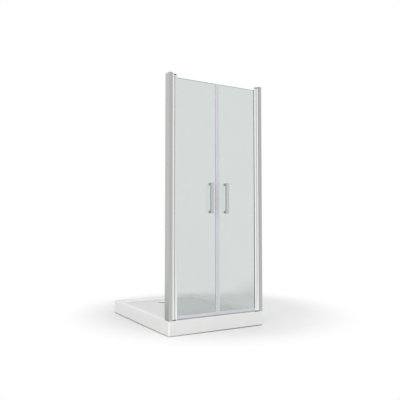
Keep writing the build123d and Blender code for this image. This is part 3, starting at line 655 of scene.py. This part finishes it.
def tray_rings():
    """All the tray's outlines in order, so that the last one meets the first."""
    rings = []

    def outer(inset, z):
        corner = max(TRAY_CORNER - inset, LEAST_CORNER)
        rings.append(rounded_outline(TRAY_HALF_X - inset, TRAY_HALF_Y - inset, corner, z))

    def basin(inset, z):
        half_x, half_y = BASIN_HALF_X - inset, BASIN_HALF_Y - inset
        rings.append(rounded_outline(half_x, half_y, BASIN_CORNER - inset, z, BASIN_CENTRE_Y))

    def pan(z):
        basin(-SHELL, z)

    outer(FOOT_ROUND, TRAY_LIFT)
    outer(0.0, TRAY_LIFT + FOOT_ROUND)
    for share in SKIRT_LEVELS:
        outer(0.0, TRAY_LIFT + share * (TRAY_TOP - TRAY_LIFT))
    for k in range(EDGE_PARTS + 1):
        a = math.pi / 2 * k / EDGE_PARTS
        outer(TRAY_EDGE * (1 - math.cos(a)), TRAY_TOP - TRAY_EDGE + TRAY_EDGE * math.sin(a))
    outer(TRAY_EDGE + RIM_OUTSIDE, TRAY_TOP)
    # Rim, lip, wall and foot of the basin
    slope_length = math.hypot(BASIN_RUN, TRAY_TOP - BASIN_FLOOR)
    across, down = BASIN_RUN / slope_length, (TRAY_TOP - BASIN_FLOOR) / slope_length
    basin(-RIM_INSIDE, TRAY_TOP)
    for k in range(CURVE_PARTS + 1):
        t = k / CURVE_PARTS
        start = Vector((-LIP_REACH, 0.0))
        end = Vector((LIP_REACH * across, -LIP_REACH * down))
        p = start * (1 - t) ** 2 + end * t**2
        basin(p.x, TRAY_TOP + p.y)
    for k in range(CURVE_PARTS + 1):
        t = k / CURVE_PARTS
        start = Vector((BASIN_RUN - FOOT_REACH * across, BASIN_FLOOR + FOOT_REACH * down))
        end = Vector((BASIN_RUN + FOOT_REACH, BASIN_FLOOR))
        middle = Vector((BASIN_RUN, BASIN_FLOOR))
        p = start * (1 - t) ** 2 + middle * 2 * t * (1 - t) + end * t**2
        basin(p.x, p.y)
    foot = rings[-1]
    flat = rounded_outline(FALL_FLAT, FALL_FLAT, FALL_CORNER, WASTE_FLOOR, WASTE_Y)
    for k in range(1, FALL_PARTS + 1):
        t = k / FALL_PARTS
        rings.append([a.lerp(b, t) for a, b in zip(foot, flat)])
    for radius, z in (
        (RECESS_R + RECESS_ROUND, WASTE_FLOOR),
        (RECESS_R, WASTE_FLOOR - RECESS_ROUND),
        (RECESS_R, FLANGE_SEAT),
        (WASTE_HOLE_R, FLANGE_SEAT),
        (WASTE_HOLE_R, PAN_BOTTOM),
    ):
        rings.append(round_outline(radius, z))
    pan(PAN_BOTTOM)
    pan(TRAY_TOP - SHELL)
    outer(SHELL, TRAY_TOP - SHELL)
    outer(SHELL, TRAY_LIFT)
    return rings


def build_tray():
    """The tray shell, with an arched notch in its right skirt for the outlet pipe."""
    maker = bmesh.new()
    rings = [add_ring(maker, points) for points in tray_rings()]
    for low, high in zip(rings, rings[1:] + rings[:1]):
        bridge(maker, low, high)
    tray = new_piece("tray", maker, "enclosure_frame", "white_acrylic", ["tray_shell"])
    cutter = bmesh.new()
    profile = [(WASTE_Y + NOTCH_R, 0.0)]
    for k in range(NOTCH_PARTS + 1):
        a = math.pi * k / NOTCH_PARTS
        profile.append((WASTE_Y + NOTCH_R * math.cos(a), NOTCH_Z + NOTCH_R * math.sin(a)))
    profile.append((WASTE_Y - NOTCH_R, 0.0))
    near = add_ring(cutter, [(NOTCH_FROM_X, y, z) for y, z in profile])
    far = add_ring(cutter, [(NOTCH_TO_X, y, z) for y, z in profile])
    bridge(cutter, near, far)
    cutter.faces.new(near)
    cutter.faces.new(far)
    cut(tray, cutter)


# Turned pieces
def lathe(maker, profile, centre, count, axis="Z"):
    """Turns a profile of (radius, height) pairs round an axis through the centre, closed at both ends."""
    rings = []
    for radius, height in profile:
        points = []
        for a, b in circle(radius, count):
            offset = (a, b, height) if axis == "Z" else (a, height, -b)
            points.append(Vector(centre) + Vector(offset))
        rings.append(add_ring(maker, points))
    for low, high in zip(rings, rings[1:]):
        bridge(maker, low, high)
    maker.faces.new(rings[0])
    maker.faces.new(rings[-1])


def block(maker, low, high):
    """A box between two corners; its vertices are returned."""
    corners = [
        maker.verts.new((x, y, z))
        for x in (low[0], high[0])
        for y in (low[1], high[1])
        for z in (low[2], high[2])
    ]
    for face in ((0, 1, 3, 2), (4, 6, 7, 5), (0, 4, 5, 1), (2, 3, 7, 6), (0, 2, 6, 4), (1, 5, 7, 3)):
        maker.faces.new([corners[k] for k in face])
    return corners


# Drain cover: a shallow dome with a fine groove near its rim, on four legs and four ribs
COVER_R, COVER_LOW, COVER_RIM, COVER_TOP = 0.056, 0.0965, 0.0985, 0.103
COVER_EDGE, RIM_EDGE, COVER_AXIS = 0.0006, 0.0005, 0.001
GROOVE_R, GROOVE_HALF, GROOVE_DEPTH = 0.0465, 0.0009, 0.0006
OUTSIDE_GROOVE = (0.0555, 0.0545, 0.052, 0.0495, GROOVE_R + GROOVE_HALF)
INSIDE_GROOVE = (GROOVE_R - GROOVE_HALF, 0.042, 0.036, 0.030, 0.024, 0.018, 0.012, 0.006, COVER_AXIS)
LEG_R, LEG_WALL, LEG_LOW = 0.0412, 0.0026, 0.0885
LEG_SPREAD, LEG_PARTS = math.radians(22), 6
RIB_INNER, RIB_OUTER, RIB_HALF = 0.0436, 0.0536, 0.002
INTO_COVER = 0.001
COVER_COUNT = 96


def crown(radius):
    """The dome's height at a radius."""
    return COVER_RIM + (COVER_TOP - COVER_RIM) * (1 - (radius / COVER_R) ** 2)


def cover_profile():
    """Pairs of radius and height, from the underside's middle round the rim to the dome's middle."""
    profile = [
        (COVER_AXIS, COVER_LOW),
        (COVER_R - COVER_EDGE, COVER_LOW),
        (COVER_R, COVER_LOW + COVER_EDGE),
        (COVER_R, COVER_RIM - RIM_EDGE),
    ]
    profile += [(radius, crown(radius)) for radius in OUTSIDE_GROOVE]
    groove_floor = crown(GROOVE_R) - GROOVE_DEPTH
    profile.append((GROOVE_R + GROOVE_HALF / 2, groove_floor))
    profile.append((GROOVE_R - GROOVE_HALF / 2, groove_floor))
    profile += [(radius, crown(radius)) for radius in INSIDE_GROOVE]
    return profile


def add_leg(maker, middle):
    """A leg that is a short arc round the waste's middle, at an angle."""
    angles = [middle + LEG_SPREAD * (k / LEG_PARTS - 0.5) for k in range(LEG_PARTS + 1)]
    levels = (LEG_LOW, COVER_LOW + INTO_COVER)

    def row(radius, level):
        return add_ring(
            maker, [(radius * math.cos(a), WASTE_Y + radius * math.sin(a), level) for a in angles]
        )

    inner = [row(LEG_R - LEG_WALL, level) for level in levels]
    outer = [row(LEG_R, level) for level in levels]
    for a, b in ((inner[0], inner[1]), (outer[0], outer[1]), (inner[0], outer[0]), (inner[1], outer[1])):
        for k in range(LEG_PARTS):
            maker.faces.new((a[k], a[k + 1], b[k + 1], b[k]))
    for k in (0, LEG_PARTS):
        maker.faces.new((inner[0][k], inner[1][k], outer[1][k], outer[0][k]))


def add_rib(maker, middle):
    """A rib that stands on the tray outside a leg, at an angle."""
    turn = Matrix.Rotation(middle, 4, "Z")
    low = (RIB_INNER, -RIB_HALF, WASTE_FLOOR)
    high = (RIB_OUTER, RIB_HALF, COVER_LOW + INTO_COVER)
    for vert in block(maker, low, high):
        vert.co = turn @ vert.co + Vector((0, WASTE_Y, 0))


def build_drain_cover():
    maker = bmesh.new()
    lathe(maker, cover_profile(), (0, WASTE_Y, 0), COVER_COUNT)
    for quarter in range(4):
        add_leg(maker, math.pi / 2 * quarter)
        add_rib(maker, math.pi / 2 * quarter)
    new_piece("drain_cover_dome", maker, "drain_cover", "waste_chrome", ["drain_cover"])


# Screws along Y with a domed head that looks to the back, and a socket in the head
HANDLE_SCREW = {
    "face_y": -0.584, "head_r": 0.008, "head_height": 0.004, "head_round": 0.0025,
    "shank_r": 0.003, "shank_end_y": -0.608, "socket": "hexagon", "socket_width": 0.005,
}
HANDLE_SCREW_X = 0.0735
HANDLE_SCREW_HEIGHTS = (0.967, 1.195)
POST_SCREW = {
    "face_y": -0.528, "head_r": 0.004, "head_height": 0.0024, "head_round": 0.001,
    "shank_r": 0.0021, "shank_end_y": -0.540, "socket": "cross", "socket_width": 0.0042,
}
POST_SCREW_X = 0.4305
POST_SCREW_HEIGHTS = (0.443, 1.093, 1.743)
SCREW_AXIS, SHANK_EDGE = 0.0002, 0.0004
HEAD_PARTS = 6
SCREW_COUNT = 32
SOCKET_SHARE = 0.6
CUTTER_RISE = 0.002


def socket_outline(socket, width):
    """A hexagon, or a cross of two bars."""
    if socket == "hexagon":
        return circle(width / 2 / math.cos(math.pi / 6), 6)
    arm, half = width / 2, width / 7
    return [
        (half, half), (arm, half), (arm, -half), (half, -half), (half, -arm), (-half, -arm),
        (-half, -half), (-arm, -half), (-arm, half), (-half, half), (-half, arm), (half, arm),
    ]


def socket_cutter(centre, depth, outline):
    """A prism from a depth below the head's top to just above it."""
    maker = bmesh.new()
    x, y, z = centre
    near = add_ring(maker, [(x + a, y - depth, z + b) for a, b in outline])
    far = add_ring(maker, [(x + a, y + CUTTER_RISE, z + b) for a, b in outline])
    bridge(maker, near, far)
    maker.faces.new(near)
    maker.faces.new(far)
    return maker


def screw_profile(size):
    """Pairs of radius and place along Y, from the shank's end to the head's top."""
    end, face = size["shank_end_y"], size["face_y"]
    flat = size["head_height"] - size["head_round"]
    profile = [
        (SCREW_AXIS, end),
        (size["shank_r"] - SHANK_EDGE, end),
        (size["shank_r"], end + SHANK_EDGE),
        (size["shank_r"], face),
        (size["head_r"], face),
    ]
    for k in range(HEAD_PARTS + 1):
        a = math.pi / 2 * k / HEAD_PARTS
        radius = size["head_r"] - size["head_round"] * (1 - math.cos(a))
        profile.append((radius, face + flat + size["head_round"] * math.sin(a)))
    profile.append((SCREW_AXIS, face + size["head_height"]))
    return profile


def build_screws(name, node, body, slot, x, heights, size):
    """One screw at each height, each with its socket cut in."""
    top = size["face_y"] + size["head_height"]
    outline = socket_outline(size["socket"], size["socket_width"])
    for index, z in enumerate(heights):
        maker = bmesh.new()
        lathe(maker, screw_profile(size), (x, 0, z), SCREW_COUNT, axis="Y")
        piece = new_piece(f"{name}_{index + 1}", maker, body, slot, [node])
        cut(piece, socket_cutter((x, top, z), SOCKET_SHARE * size["head_height"], outline))


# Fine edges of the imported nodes
SIDE_BEVELS = {
    "wall_profile": 0.0003, "wall_profile_cap": 0.0004, "pivot_profile": 0.0003, "post_profile": 0.0003,
    "door_glass": 0.0005, "lower_pivot_bracket": 0.0004, "upper_pivot_bracket": 0.0004,
}
FLANGE_BEVEL = 0.0004

# The scene
bpy.context.scene.view_settings.view_transform = "Standard"
add_camera()
add_world()
add_lamp("left_lamp", **LEFT_LAMP)
add_lamp("right_lamp", **RIGHT_LAMP)
add_floor()

materials = {name: surface(name, **finish) for name, finish in FINISHES.items()}
for part in frame["record"]["subparts"]:
    mesh = nodes[part["node"]].data
    mesh.materials.clear()
    mesh.materials.append(materials[part["material_slot"]])
    smooth(nodes[part["node"]])

build_tray()
build_drain_cover()
for side, sign in SIDES.items():
    build_screws(
        f"handle_screw_{side}", f"handle_screws_{side}", f"{side}_door", "handle_chrome",
        sign * HANDLE_SCREW_X, HANDLE_SCREW_HEIGHTS, HANDLE_SCREW,
    )
    build_screws(
        f"post_screw_{side}", f"post_screws_{side}", "enclosure_frame", "screw_steel",
        sign * POST_SCREW_X, POST_SCREW_HEIGHTS, POST_SCREW,
    )
    for name, width in SIDE_BEVELS.items():
        bevel(nodes[f"{name}_{side}"], width)
bevel(nodes["waste_flange"], FLANGE_BEVEL)
